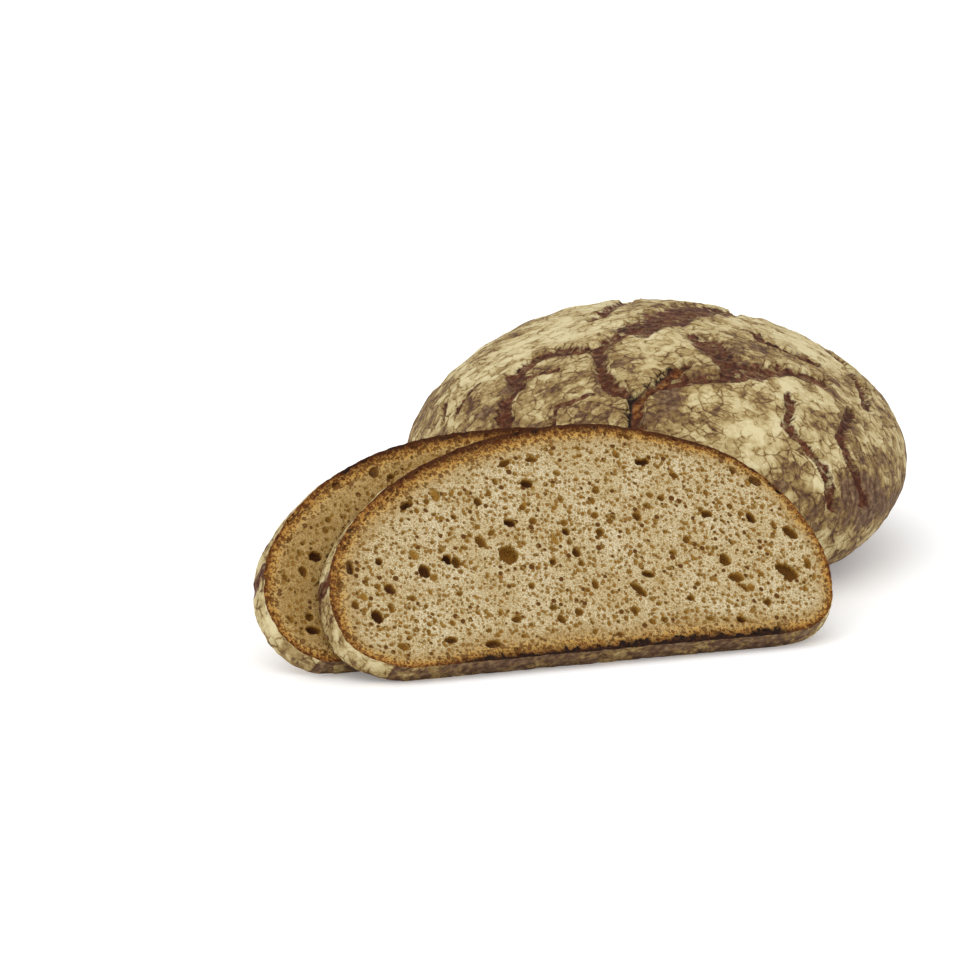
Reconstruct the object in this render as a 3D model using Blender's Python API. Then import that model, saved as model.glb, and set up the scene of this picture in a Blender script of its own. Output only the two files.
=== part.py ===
"""A farmhouse bread loaf with two cut slices leaning on it.

The loaf is one oval dome of crust with the burst cracks of a floured rye loaf. Two slices stand on
the edge of their bottom crust: the rear one leans on the loaf's shoulder, the front one leans on the
rear one.  Metres, +Z up, X along the picture's width, -Y towards the viewer, origin under the middle
of the whole group's box.
"""
import math

import bmesh
import bpy
import numpy as np
from mathutils import Matrix, Vector

# The group's places on the table
LOAF_AT = (0.0355, 0.06785)           # centre of the loaf's flat base
FRONT_AT = (-0.0098, -0.19235)        # front slice: middle of the bottom edge it stands on
BACK_AT = (-0.0421, -0.17775)         # rear slice: the same point
TURN = math.radians(21.0)             # both slices stand turned, left end nearer the viewer
FRONT_LEAN = math.radians(42.5)       # lean back from upright
BACK_LEAN = math.radians(39.5)

# The loaf
LOAF_HALF_WIDTH = 0.128
LOAF_HALF_LENGTH = 0.166
LOAF_HEIGHT = 0.123
WIDEST_AT = 0.043                     # height of the widest line above the table
SHOULDER_TILT = 0.02                  # the left shoulder stands a little higher than the right
LUMP = 0.0014                         # slow unevenness of the crust
BASE_CUT = 0.72                       # sine of the angle under the widest line where the flat begins

# Burst cracks: (half width, depth, [(bearing, height angle), ...]).  The bearing is in degrees round
# the loaf, -90 towards the viewer; the height angle is 0 at the widest line and 90 at the crown.
CRACKS = [
    (0.0120, 0.0020, [(32, 75), (10, 84), (-80, 84), (-114, 77)]),
    (0.0048, 0.0024, [(-114, 77), (-126, 66), (-138, 62), (-148, 60), (-153, 54), (-150, 47), (-144, 44)]),
    (0.0048, 0.0028, [(-152, 47), (-144, 44), (-142, 38), (-137, 29)]),
    (0.0042, 0.0026, [(-126, 65), (-117, 56), (-110, 49), (-103, 47)]),
    (0.0040, 0.0042, [(-80, 59), (-87, 56), (-95, 49), (-100, 45), (-99, 35)]),
    (0.0058, 0.0028, [(-94, 50), (-78, 53), (-62, 52), (-48, 53), (-36, 52), (-24, 44)]),
    (0.0090, 0.0026, [(-60, 69), (-60, 62), (-64, 54)]),
    (0.0040, 0.0018, [(-10, 67), (-22, 64), (-15, 56), (-14, 50)]),
    (0.0038, 0.0028, [(-48, 42), (-56, 33), (-53, 26), (-51, 18), (-50, 4)]),
    (0.0040, 0.0020, [(-26, 32), (-40, 26), (-40, 14), (-38, 0)]),
    (0.0026, 0.0020, [(-177, 42), (-171, 32), (-161, 23)]),
    (0.0022, 0.0015, [(-160, 39), (-157, 28)]),
    (0.0080, 0.0028, [(28, 76), (40, 62), (52, 52), (64, 44), (72, 30)]),
    (0.0050, 0.0026, [(40, 62), (26, 48), (6, 40), (-8, 33), (-16, 30)]),
    (0.0070, 0.0030, [(52, 52), (76, 52), (100, 57), (124, 54), (144, 44), (152, 28)]),
    (0.0060, 0.0026, [(100, 57), (112, 70), (150, 76), (172, 76)]),
    (0.0055, 0.0026, [(76, 52), (88, 38), (86, 24), (92, 8)]),
    (0.0050, 0.0024, [(144, 44), (160, 38), (168, 26), (166, 12)]),
    (0.0050, 0.0024, [(112, 36), (124, 26), (126, 10)]),
    (0.0050, 0.0024, [(26, 48), (36, 34), (34, 18), (42, 4)]),
]

# The slices
SLICE_THICK = 0.0125
FLARE = 0.016                         # the rear cut face is this much larger than the front one
# Outlines of the front cut faces in millimetres: along the bottom crust, and up the face.
FRONT_OUTLINE = [(-119, 30), (-117, 50), (-108, 68.5), (-92, 86), (-69, 102), (-40, 114.5), (-12, 121.5),
                 (16, 124.5), (40, 123.5), (62, 118), (82, 111), (102, 100.5), (119, 83), (130, 63),
                 (135.5, 38), (132, 17), (122, 5), (102, 0), (60, 0), (0, 0), (-60, 0), (-88, 0),
                 (-104, 5.5), (-115, 15)]
BACK_OUTLINE = [(-119, 30), (-116, 50), (-108, 66), (-92, 83), (-74, 96), (-50, 107), (-30, 112.5),
                (-8, 115.5), (15, 116.5), (36, 115.5), (56, 111), (76, 102), (94, 89), (108, 73),
                (118, 54), (122, 34), (119, 14), (109, 1), (92, 0), (50, 0), (0, 0), (-50, 0),
                (-88, 0), (-102, 3), (-113, 13)]
# Large holes of the crumb: along, up, length, height in millimetres, tilt in degrees.
FRONT_HOLES = [(-25, 56, 9.2, 9.6, 0), (113, 34, 12, 6.5, -35), (112, 85, 6.5, 4.6, -40),
               (83, 43, 5.6, 7, 0), (87, 33, 7.6, 4.6, -15), (35, 30, 4.6, 9.5, 35), (42, 39, 7, 4, -25),
               (-54, 55, 7.4, 6.2, 0), (-69, 50, 5.8, 7, 0), (-69, 87, 7, 3.4, 20), (-104, 56, 3.6, 7.4, -8),
               (-98, 29, 5.2, 7, 15), (-45, 9, 8, 4.2, 0), (56, 101, 7, 3.6, -10), (1, 108, 6, 3, 0),
               (-15, 105, 6.4, 3.2, 20), (-6, 94, 5.6, 4.8, 0), (-20, 73, 5.6, 4.4, 0),
               (81, 69, 5.6, 4.4, -20), (103, 65, 3.8, 6.4, 10)]
BACK_HOLES = [(-89, 56, 6, 5.2, 0), (-99, 18, 7, 4.6, -10), (-50, 97, 4.6, 5.8, -30), (-98, 47, 3.4, 5.4, 0),
              (20, 40, 7, 6, 0), (60, 62, 8, 5, 20), (88, 30, 6, 6, 0), (-20, 70, 6, 5, 0)]
REAR_HOLES = [(-70, 60, 8, 6, 20), (-30, 30, 6, 6, 0), (10, 80, 7, 5, -15), (45, 40, 9, 6, 10),
              (80, 66, 6, 8, 0), (-95, 35, 5, 7, 0), (-50, 92, 6, 4, 25)]
HOLE_DEPTH = 0.0034

for old in list(bpy.data.objects):
    bpy.data.objects.remove(old)


def principled(name, colour, roughness):
    """A plain matte food material."""
    material = bpy.data.materials.new(name)
    material.use_nodes = True
    bsdf = material.node_tree.nodes["Principled BSDF"]
    bsdf.inputs["Base Color"].default_value = (*colour, 1.0)
    bsdf.inputs["Roughness"].default_value = roughness
    bsdf.inputs["Metallic"].default_value = 0.0
    return material


def add_object(name, bm, material):
    """A mesh object with outward faces and one material."""
    bmesh.ops.recalc_face_normals(bm, faces=bm.faces)
    mesh = bpy.data.meshes.new(name)
    bm.to_mesh(mesh)
    bm.free()
    mesh.materials.append(material)
    obj = bpy.data.objects.new(name, mesh)
    bpy.context.scene.collection.objects.link(obj)
    return obj


# The loaf's solid
def unit_point(bearing, height):
    """Unit vector of a bearing and a height angle in degrees."""
    b, h = math.radians(bearing), math.radians(height)
    return np.array([math.cos(h) * math.cos(b), math.cos(h) * math.sin(b), math.sin(h)])


def crack_path(stations, step=0.03):
    """Unit vectors along a crack, a short step apart."""
    ends = [unit_point(*s) for s in stations]
    points = []
    for a, b in zip(ends[:-1], ends[1:]):
        count = max(2, int(np.linalg.norm(b - a) / step))
        for k in range(count):
            p = a + (b - a) * k / count
            points.append(p / np.linalg.norm(p))
    points.append(ends[-1])
    return np.array(points)


CRACK_PATHS = [(half, depth, crack_path(stations)) for half, depth, stations in CRACKS]


def crack_gap(direction):
    """Distance to the nearest crack in units of its half width, and that crack's depth."""
    best = (9.0, 0.0)
    for half, depth, path in CRACK_PATHS:
        gap = np.linalg.norm(path - direction, axis=1).min() * LOAF_HALF_WIDTH / half
        best = min(best, (gap, depth))
    return best


def lumps(direction):
    """Slow unevenness of the dome, a sum of three plane waves."""
    x, y, z = direction
    return LUMP * (math.sin(5.1 * x + 2.3 * y + 1.0) + math.sin(4.4 * y - 3.6 * z + 2.1)
                   + 0.6 * math.sin(7.9 * z + 5.2 * x - 4.8 * y))


def loaf_point(direction):
    """Map a direction to the crust: an oval dome above its widest line, tucked in below it."""
    x, y, z = direction
    rise = (LOAF_HEIGHT - WIDEST_AT) if z > 0 else WIDEST_AT / BASE_CUT
    point = np.array([LOAF_HALF_WIDTH * x, LOAF_HALF_LENGTH * y, WIDEST_AT + rise * z])
    if z > 0:
        point[2] -= SHOULDER_TILT * point[0] * z
    outward = np.array([x / LOAF_HALF_WIDTH, y / LOAF_HALF_LENGTH, z / rise])
    outward /= np.linalg.norm(outward)
    fade = min(1.0, max(0.0, (z + BASE_CUT) / 0.25))
    gap, depth = crack_gap(direction)
    burst = depth * max(0.0, 1.0 - gap * gap) ** 1.5
    point += outward * fade * (lumps(direction) - burst)
    point[2] = max(point[2], 0.0)
    return point


loaf_mesh = bmesh.new()
bmesh.ops.create_icosphere(loaf_mesh, subdivisions=5, radius=1.0)
spin = Matrix.Rotation(0.31, 3, Vector((0.3, 0.5, 0.8)).normalized())
bmesh.ops.rotate(loaf_mesh, verts=loaf_mesh.verts, cent=(0, 0, 0), matrix=spin)
# Finer faces along the cracks, so that each one reads as a groove.
near = []
for edge in loaf_mesh.edges:
    middle = (edge.verts[0].co + edge.verts[1].co).normalized()
    if middle.z > -0.1 and crack_gap(np.array(middle))[0] < 1.5:
        near.append(edge)
bmesh.ops.subdivide_edges(loaf_mesh, edges=near, cuts=1, use_grid_fill=True)
bmesh.ops.bisect_plane(loaf_mesh, geom=loaf_mesh.verts[:] + loaf_mesh.edges[:] + loaf_mesh.faces[:],
                       plane_co=(0, 0, -BASE_CUT), plane_no=(0, 0, 1), clear_inner=True, dist=1e-5)
bmesh.ops.remove_doubles(loaf_mesh, verts=loaf_mesh.verts, dist=0.004)
rim = [edge for edge in loaf_mesh.edges if edge.is_boundary]
bmesh.ops.contextual_create(loaf_mesh, geom=rim)
bmesh.ops.triangulate(loaf_mesh, faces=[f for f in loaf_mesh.faces if len(f.verts) > 3])
for vert in loaf_mesh.verts:
    unit = np.array(vert.co.normalized())
    if abs(vert.co.z + BASE_CUT) < 1e-4:
        unit[2] = -BASE_CUT
    vert.co = loaf_point(unit)
loaf = add_object("loaf", loaf_mesh, principled("floured_crust", (0.33, 0.24, 0.13), 0.85))
loaf.location = (*LOAF_AT, 0.0)


# The slices' solids
def smooth_outline(stations, steps=4):
    """Closed curve through the stations, Catmull-Rom, kept on or above the bottom crust line."""
    count = len(stations)
    curve = []
    for i in range(count):
        a, b, c, d = (np.array(stations[(i + k - 1) % count], dtype=float) / 1000 for k in range(4))
        for k in range(steps):
            s = k / steps
            p = 0.5 * (2 * b + (c - a) * s + (2 * a - 5 * b + 4 * c - d) * s ** 2
                       + (3 * b - a - 3 * c + d) * s ** 3)
            curve.append((p[0], max(p[1], 0.0)))
    return curve


def slice_mesh(stations):
    """A slab between two cut faces, its crust rim flaring and bulging slightly towards the rear."""
    bm = bmesh.new()
    rings = []
    for depth, bulge in ((0.0, 0.0), (0.35, 0.004), (0.7, 0.004), (1.0, 0.0)):
        grow = 1.0 + FLARE * depth + bulge
        rings.append([bm.verts.new((x * grow, -SLICE_THICK * (1.0 - depth), z * grow))
                      for x, z in smooth_outline(stations)])
    count = len(rings[0])
    for low, high in zip(rings[:-1], rings[1:]):
        for k in range(count):
            bm.faces.new((low[k], low[(k + 1) % count], high[(k + 1) % count], high[k]))
    bm.faces.new(rings[0])
    bm.faces.new(list(reversed(rings[-1])))
    return bm


def hole_cutter(name, holes, face_y):
    """Ellipsoids set half into a cut face, one for each large hole of the crumb."""
    bm = bmesh.new()
    for along, up, length, height, tilt in holes:
        place = (Matrix.Translation((along / 1000, face_y, up / 1000))
                 @ Matrix.Rotation(math.radians(-tilt), 4, "Y")
                 @ Matrix.Diagonal((length / 2000, HOLE_DEPTH, height / 2000, 1.0)))
        bmesh.ops.create_uvsphere(bm, u_segments=12, v_segments=7, radius=1.0, matrix=place)
    cutter = add_object(name, bm, crumb)
    cutter.hide_render = True
    cutter.display_type = "WIRE"
    return cutter


def add_slice(name, stations, place, lean, cutters):
    """A slice standing on the rear edge of its bottom crust, leaned back and turned."""
    obj = add_object(name, slice_mesh(stations), crumb)
    obj.location = (*place, 0.0)
    obj.rotation_euler = (-lean, 0.0, TURN)
    for cutter in cutters:
        cutter.parent = obj
        cut = obj.modifiers.new(cutter.name, "BOOLEAN")
        cut.operation = "DIFFERENCE"
        cut.solver = "EXACT"
        cut.object = cutter
    return obj


crumb = principled("rye_crumb", (0.42, 0.31, 0.15), 0.9)
front_holes = hole_cutter("front_holes", FRONT_HOLES, -SLICE_THICK)
back_holes = hole_cutter("back_holes", BACK_HOLES, -SLICE_THICK)
rear_holes = hole_cutter("rear_holes", REAR_HOLES, 0.0)
add_slice("slice_front", FRONT_OUTLINE, FRONT_AT, FRONT_LEAN, [front_holes])
add_slice("slice_back", BACK_OUTLINE, BACK_AT, BACK_LEAN, [back_holes, rear_holes])
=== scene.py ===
"""The looks of a farmhouse bread loaf with two cut slices leaning on it."""
import math

import bpy
import numpy as np
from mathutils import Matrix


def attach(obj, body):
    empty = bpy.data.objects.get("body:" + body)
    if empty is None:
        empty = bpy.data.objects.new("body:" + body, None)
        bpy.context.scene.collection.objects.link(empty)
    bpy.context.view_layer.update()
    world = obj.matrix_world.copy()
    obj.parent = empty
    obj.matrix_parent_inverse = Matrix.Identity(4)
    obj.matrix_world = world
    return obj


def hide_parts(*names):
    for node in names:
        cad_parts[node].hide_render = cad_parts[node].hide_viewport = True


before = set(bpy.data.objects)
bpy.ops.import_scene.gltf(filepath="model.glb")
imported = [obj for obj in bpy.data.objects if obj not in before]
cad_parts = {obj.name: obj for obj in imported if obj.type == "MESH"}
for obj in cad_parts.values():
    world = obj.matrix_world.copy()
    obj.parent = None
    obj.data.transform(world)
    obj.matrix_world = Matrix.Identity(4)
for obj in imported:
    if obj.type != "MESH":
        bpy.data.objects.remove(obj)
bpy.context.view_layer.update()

# Front slice, cut face
# The slice is 12.5 mm of rye crumb, cut with a bread knife through the baked loaf.  Its cut face is
# open: round gas holes of every size from half a millimetre to a centimetre, flattened where the
# crumb was pressed against the crust.  It stands on the rear edge of its bottom crust.
TURN = math.radians(21.0)
SLICE_THICK = 12.5
FLARE = 0.016                 # the rear cut face is this much larger than the front one
FACE_MIDDLE = (6.0, 55.0)     # along and up, inside every slice outline
FRONT_PLACE = (-9.8, -192.35)
FRONT_LEAN = math.radians(42.5)
FRONT_OUTLINE = [
    (-119, 30), (-117, 50), (-108, 68.5), (-92, 86), (-69, 102), (-40, 114.5), (-12, 121.5),
    (16, 124.5), (40, 123.5), (62, 118), (82, 111), (102, 100.5), (119, 83), (130, 63), (135.5, 38),
    (132, 17), (122, 5), (102, 0), (60, 0), (0, 0), (-60, 0), (-88, 0), (-104, 5.5), (-115, 15),
]
# The largest holes: along, up, length, height (mm), tilt (degrees), depth (mm), painted shade on the hole's
# floor from 0 dark to 1 light.
FRONT_HOLES = [
    (-25, 56, 9.2, 9.6, 0, 4.8, .66), (-6, 94, 5.6, 4.8, 0, 3.5, .2), (-20, 73, 5.6, 4.3, 0, 3.5, .1),
    (-8, 73, 3.3, 3.5, 0, 2, .4), (-11, 81, 3, 3.2, 0, 2, .4), (7, 66, 3.6, 4.8, 20, 3, .3),
    (9, 54, 3.6, 5.1, 15, 3, .3), (0, 62, 3, 6.5, 10, 1.6, .8), (24, 64, 3.6, 4.8, 0, 2.6, .4),
    (-4, 50, 3.6, 3.8, 0, 2.4, .3), (10, 48, 3, 3.2, 0, 2, .4), (42, 39, 7.1, 3.6, -22, 3, .3),
    (35, 31, 4.2, 9.7, 38, 3.5, .45), (83, 43, 5.6, 7, 0, 4, .6), (86, 33, 7.6, 4.6, -15, 3, .5),
    (89, 27, 2.4, 5, 30, 2, .4), (113, 34, 12.2, 6.6, -40, 4.5, .45), (125, 37, 3.6, 6, 0, 2, .4),
    (121, 55, 9, 4.6, -48, 3.5, .4), (111, 85, 6.6, 4.6, -45, 3.5, 0), (101, 92, 3.4, 4, 0, 2, .2),
    (81, 69, 5.6, 4.2, -15, 3, .3), (103, 65, 3.6, 6.5, 15, 3, .2), (56, 101, 7.1, 3.6, -12, 3, .05),
    (0, 107, 6.1, 2.7, -5, 2.4, .3), (-14, 106, 6.6, 3.1, 24, 2.6, .3), (28, 87, 3.6, 3.2, 0, 2, .4),
    (45, 71, 4.1, 4.3, 0, 2.6, .3), (67, 56, 3.6, 3.8, 0, 2.2, .4), (82, 10, 4.6, 3.6, 0, 2.6, .05),
    (-8, 19, 3, 4.8, 20, 2.2, .3), (2, 22, 3.6, 3.8, 0, 2.2, .3), (-30, 21, 4.6, 3.2, 10, 2.2, .3),
    (-45, 9, 8.1, 4.3, 0, 3.4, .3), (19, 8, 2.5, 2.7, 0, 2, .05), (-56, 56, 4, 6, 0, 4.4, 0),
    (-52, 54, 3.8, 6.5, -10, 3, .4), (-69, 51, 5.6, 7, 15, 3.6, .25), (-69, 87, 7, 3.2, 22, 3, .15),
    (-105, 56, 3.4, 7.6, -8, 3, .1), (-90, 58, 3.4, 3.8, 0, 2.4, .1), (-98, 29, 5.2, 7, 12, 3.4, .1),
    (-88, 43, 4.6, 5.4, 30, 2.8, .15), (-107, 36, 3, 4.8, 0, 2, .2), (-102, 40, 3.2, 4.3, 0, 1.6, .7),
    (-90, 33, 2.3, 5.9, 5, 2, .5), (-72, 60, 4.2, 5.4, 20, 1.8, .8), (-65, 47, 3.6, 3.8, 0, 1.8, .7),
    (-53, 91, 4.6, 6.5, -12, 1.8, .75), (-33, 86, 4.1, 4.3, 0, 2.6, .3), (-37, 64, 4.4, 7, 35, 2.6, .4),
    (-47, 79, 2.5, 2.7, 0, 1.8, .1), (-65, 13, 6.1, 3.2, -8, 2.4, .1), (-89, 12, 5.6, 3.5, -25, 2, .5),
    (-78, 37, 3, 3.2, 0, 2, .4), (-112, 48, 2.6, 6, -10, 1.8, .5), (60, 80, 3.6, 3, 0, 2.2, .3),
    (30, 20, 3.4, 4, 20, 2.2, .4), (60, 24, 4, 3.4, -20, 2.4, .3), (98, 18, 4.4, 3.4, 10, 2.4, .3),
    (14, 36, 3.2, 4.2, 0, 2.2, .4), (-18, 38, 3.4, 3, 20, 2, .4), (70, 92, 4.6, 3, -30, 2.2, .3),
]


def lattice_noise(x, y, z, size, seed):
    """Smooth random field from -1 to 1: values on a lattice of this size (mm), blended between."""
    table = np.random.default_rng(seed).uniform(-1, 1, 65536)
    px, py, pz = x / size, y / size, z / size
    ix, iy, iz = (np.floor(v).astype(np.int64) for v in (px, py, pz))
    fx, fy, fz = (v - w for v, w in ((px, ix), (py, iy), (pz, iz)))
    fx, fy, fz = (v * v * (3 - 2 * v) for v in (fx, fy, fz))
    total = 0.0
    for cx, wx in ((0, 1 - fx), (1, fx)):
        for cy, wy in ((0, 1 - fy), (1, fy)):
            for cz, wz in ((0, 1 - fz), (1, fz)):
                key = (ix + cx) * 73856093 ^ (iy + cy) * 19349663 ^ (iz + cz) * 83492791
                total = total + table[key & 65535] * wx * wy * wz
    return total


def outline_curve(stations, steps=40):
    """Closed curve through the stations, Catmull-Rom, crumbled away by up to 0.75 mm in places."""
    p = np.array(stations, float)[:, None, :]
    a, b, c, d = (np.roll(p, k, axis=0) for k in (1, 0, -1, -2))
    s = (np.arange(steps) / steps)[None, :, None]
    curve = 0.5 * (2 * b + (c - a) * s + (2 * a - 5 * b + 4 * c - d) * s**2
                   + (3 * b - a - 3 * c + d) * s**3)
    curve = curve.reshape(-1, 2)
    flake = 0.3 * lattice_noise(curve[:, 0], curve[:, 1], 0 * curve[:, 0], 4.5, 5)
    flake = flake + 0.25 * lattice_noise(curve[:, 0], curve[:, 1], 0 * curve[:, 0], 1.9, 6)
    outward = curve - FACE_MIDDLE
    outward = outward / np.hypot(*outward.T)[:, None]
    curve = curve + outward * (flake - 0.2)[:, None]
    curve[:, 1] = np.maximum(curve[:, 1], 0.0)
    return curve


def face_grid(curve, nx, nz):
    """Square grid pulled to a disc, stretched to the slice's width and height, then to its outline."""
    wide, high = 126.0, 61.0
    p, q = np.meshgrid(np.linspace(-1, 1, nx + 1), np.linspace(-1, 1, nz + 1), indexing="ij")
    e, g = p * np.sqrt(1 - q * q / 2), q * np.sqrt(1 - p * p / 2)
    angle = np.arctan2(high * g, wide * e)
    side = np.arctan2(curve[:, 1] - FACE_MIDDLE[1], curve[:, 0] - FACE_MIDDLE[0])
    reach = np.hypot(curve[:, 0] - FACE_MIDDLE[0], curve[:, 1] - FACE_MIDDLE[1])
    true = np.interp(angle, side, reach, period=2 * np.pi)
    ellipse = 1 / np.hypot(np.cos(angle) / wide, np.sin(angle) / high)
    pull = 1 + (true / ellipse - 1) * (e * e + g * g)
    return FACE_MIDDLE[0] + wide * e * pull, FACE_MIDDLE[1] + high * g * pull


def nearest_crust(x, z, curve):
    """Distance to the outline, and the number of its nearest point and its direction there."""
    ahead = np.roll(curve, -1, axis=0) - curve
    dist, place = np.empty(x.size), np.empty(x.size, int)
    flat = np.stack([x.ravel(), z.ravel()], axis=1)
    chunk = 20000                                 # points at a time, to spare memory
    for start in range(0, len(flat), chunk):
        part = flat[start:start + chunk]
        gaps = np.hypot(part[:, None, 0] - curve[None, :, 0], part[:, None, 1] - curve[None, :, 1])
        place[start:start + chunk] = gaps.argmin(axis=1)
        dist[start:start + chunk] = gaps.min(axis=1)
    heading = np.arctan2(ahead[place, 1], ahead[place, 0])
    return dist.reshape(x.shape), place.reshape(x.shape), heading.reshape(x.shape)


def crumb_holes(x, z, curve, named, seed):
    """Depth (mm) and painted shade tone of the crumb's holes: the named ones, and up to one in each cell of
    two grids.

    A hole is a tilted ellipse with a bowl-shaped floor.  Near the crust the holes are flat and lie
    along it.
    """
    level_zero = z * 0
    wx = (x + 0.35 * lattice_noise(x, z, level_zero, 3.1, seed + 1)
          + 0.2 * lattice_noise(x, z, level_zero, 1.3, seed + 2))
    wz = (z + 0.35 * lattice_noise(x, z, level_zero, 3.1, seed + 3)
          + 0.2 * lattice_noise(x, z, level_zero, 1.3, seed + 4))
    depth, hole_shade_tone = np.zeros_like(x), np.ones_like(x)

    def press(cx, cz, half_long, half_high, angle, deep, shade, where=slice(None)):
        dx, dz = wx[where] - cx, wz[where] - cz
        along = (dx * np.cos(angle) + dz * np.sin(angle)) / half_long
        across = (dz * np.cos(angle) - dx * np.sin(angle)) / half_high
        r2 = along * along + across * across
        level = deep * np.sqrt(np.clip(1 - r2, 0, 1)) ** 0.8
        wins = level > depth[where]
        depth[where] = np.where(wins, level, depth[where])
        hole_shade_tone[where] = np.where(wins, shade, hole_shade_tone[where])

    rng = np.random.default_rng(seed)
    left, low, wide, high = 140, 10, 290, 150     # the grids reach past every outline (mm)
    # cell (mm), share of cells with a hole, smallest and largest half length (mm)
    for cell, share, small, large in ((9.0, 0.55, 1.1, 2.0), (4.5, 0.85, 0.72, 1.3)):
        columns, rows = int(wide / cell) + 3, int(high / cell) + 3
        draw = rng.random((8, columns, rows))
        cx = (np.arange(columns)[:, None] - 1 + draw[0]) * cell - left
        cz = (np.arange(rows)[None, :] - 1 + draw[1]) * cell - low
        gap, _, heading = nearest_crust(cx, cz, curve[::8])
        flat = np.clip(1 - gap / 14, 0, 1)
        half = small + (large - small) * draw[2] ** 2.2
        half = half * (1 - 0.35 * flat) * (draw[3] < share) + 1e-6
        stretch = 1 + 0.45 * draw[4] + 1.3 * flat
        angle = np.where(draw[5] < 0.25 + 0.75 * flat, heading + 0.5 * (draw[6] - 0.5), np.pi * draw[6])
        ci = np.floor((wx + left) / cell).astype(int) + 1
        ck = np.floor((wz + low) / cell).astype(int) + 1
        for di in (-1, 0, 1):
            for dk in (-1, 0, 1):
                i, k = np.clip(ci + di, 0, columns - 1), np.clip(ck + dk, 0, rows - 1)
                long_half = half[i, k] * np.sqrt(stretch[i, k])
                press(cx[i, k], cz[i, k], long_half, half[i, k] / np.sqrt(stretch[i, k]) + 1e-6,
                      angle[i, k], half[i, k] * (0.7 + 0.8 * draw[7][i, k]), 0.25 + 0.6 * draw[7][i, k])
    span = 12                                     # no named hole reaches further from its middle (mm)
    for cx, cz, length, height, tilt, deep, shade in named:
        where = (np.abs(x - cx) < span) & (np.abs(z - cz) < span)
        press(cx, cz, length / 2 + 0.2, height / 2 + 0.2, math.radians(tilt), deep, shade, where)
    return depth, hole_shade_tone


def grid_faces(rows, columns, closed=False):
    """Quads of a grid of points, row after row, closed round its columns if asked."""
    r, c = np.meshgrid(np.arange(rows - 1), np.arange(columns if closed else columns - 1), indexing="ij")
    right = (c + 1) % columns
    quads = np.stack([r * columns + c, r * columns + right,
                      (r + 1) * columns + right, (r + 1) * columns + c], -1)
    return quads.reshape(-1, 4)


def add_surface(name, points, faces, material, marks=None, flip=False):
    """Mesh object from arrays in millimetres, smooth, with one number per point for each mark."""
    if flip:
        faces = faces[:, ::-1]
    mesh = bpy.data.meshes.new(name)
    mesh.vertices.add(len(points))
    mesh.vertices.foreach_set("co", (points / 1000).astype(np.float32).ravel())
    mesh.loops.add(faces.size)
    mesh.loops.foreach_set("vertex_index", faces.astype(np.int32).ravel())
    mesh.polygons.add(len(faces))
    mesh.polygons.foreach_set("loop_start", np.arange(0, faces.size, 4, dtype=np.int32))
    mesh.update(calc_edges=True)
    mesh.shade_smooth()
    for mark, values in (marks or {}).items():
        field = mesh.attributes.new(mark, "FLOAT", "POINT")
        field.data.foreach_set("value", values.astype(np.float32).ravel())
    mesh.materials.append(material)
    obj = bpy.data.objects.new(name, mesh)
    bpy.context.scene.collection.objects.link(obj)
    return obj


def lean_back(along, inward, up, place, lean):
    """Slice coordinates (mm) to the table: leaned back about the bottom edge, then turned."""
    y = inward * math.cos(lean) + up * math.sin(lean)
    z = up * math.cos(lean) - inward * math.sin(lean)
    return np.stack([place[0] + along * math.cos(TURN) - y * math.sin(TURN),
                     place[1] + along * math.sin(TURN) + y * math.cos(TURN), z], axis=-1)


def hex_colour(code, alpha=1.0):
    """sRGB hex to the linear colour that the shader works in."""
    parts = [int(code[k:k + 2], 16) / 255 for k in (0, 2, 4)]
    return tuple(v / 12.92 if v <= 0.04045 else ((v + 0.055) / 1.055) ** 2.4 for v in parts) + (alpha,)


def add_node(tree, kind, inputs=None, stops=None, **settings):
    """Add a node, set its properties and colour stops, and fill or link its inputs."""
    node = tree.nodes.new(kind)
    for key, value in settings.items():
        setattr(node, key, value)
    if stops:
        ramp = node.color_ramp.elements
        while len(ramp) < len(stops):
            ramp.new(0.5)
        for element, (position, colour) in zip(ramp, stops):
            element.position = position
            element.color = hex_colour(colour) if isinstance(colour, str) else (colour,) * 3 + (1.0,)
    for key, value in (inputs or {}).items():
        if isinstance(value, bpy.types.NodeSocket):
            tree.links.new(value, node.inputs[key])
        else:
            node.inputs[key].default_value = value
    return node


# Rye crumb: baked dough foam.  Matte, greyish tan, golden where a cell wall is thin, painted brown
# to nearly black down in a hole as shade, and toasted brown in the few millimetres behind the crust.
crumb = bpy.data.materials.new("rye_crumb_knife_cut")
crumb.use_nodes = True
tree = crumb.node_tree
tree.nodes.clear()
where = add_node(tree, "ShaderNodeTexCoord").outputs["Object"]
hollow = add_node(tree, "ShaderNodeAttribute", attribute_name="hollow").outputs["Fac"]
hole_shade_tone = add_node(tree, "ShaderNodeAttribute", attribute_name="hole_shade_tone").outputs["Fac"]
toast = add_node(tree, "ShaderNodeAttribute", attribute_name="toast").outputs["Fac"]
burn = add_node(tree, "ShaderNodeAttribute", attribute_name="burn").outputs["Fac"]
# uneven colour of the crumb over a centimetre or two, and cell walls two thirds of a millimetre across
cloud = add_node(tree, "ShaderNodeTexNoise",
                 {"Vector": where, "Scale": 60.0, "Detail": 3.0}).outputs["Fac"]
grain = add_node(tree, "ShaderNodeTexNoise",
                 {"Vector": where, "Scale": 1500.0, "Detail": 3.0}).outputs["Fac"]
wall = add_node(tree, "ShaderNodeValToRGB", {"Fac": grain},
                stops=[(0.32, "97845e"), (0.50, "b7a681"), (0.66, "d5caad")])
haze = add_node(tree, "ShaderNodeValToRGB", {"Fac": cloud}, stops=[(0.35, "ebe0ca"), (0.65, "ffffff")])
plain = add_node(tree, "ShaderNodeMix", {0: 0.8, 6: wall.outputs["Color"], 7: haze.outputs["Color"]},
                 data_type="RGBA", blend_type="MULTIPLY")
# the rear slice's crumb is browned all over as painted shadow of the front slice; the golden zone behind the
# crust is the crumb's own colour
gold_and_shadow = add_node(tree, "ShaderNodeAttribute", attribute_name="gold_and_shadow").outputs["Fac"]
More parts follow.
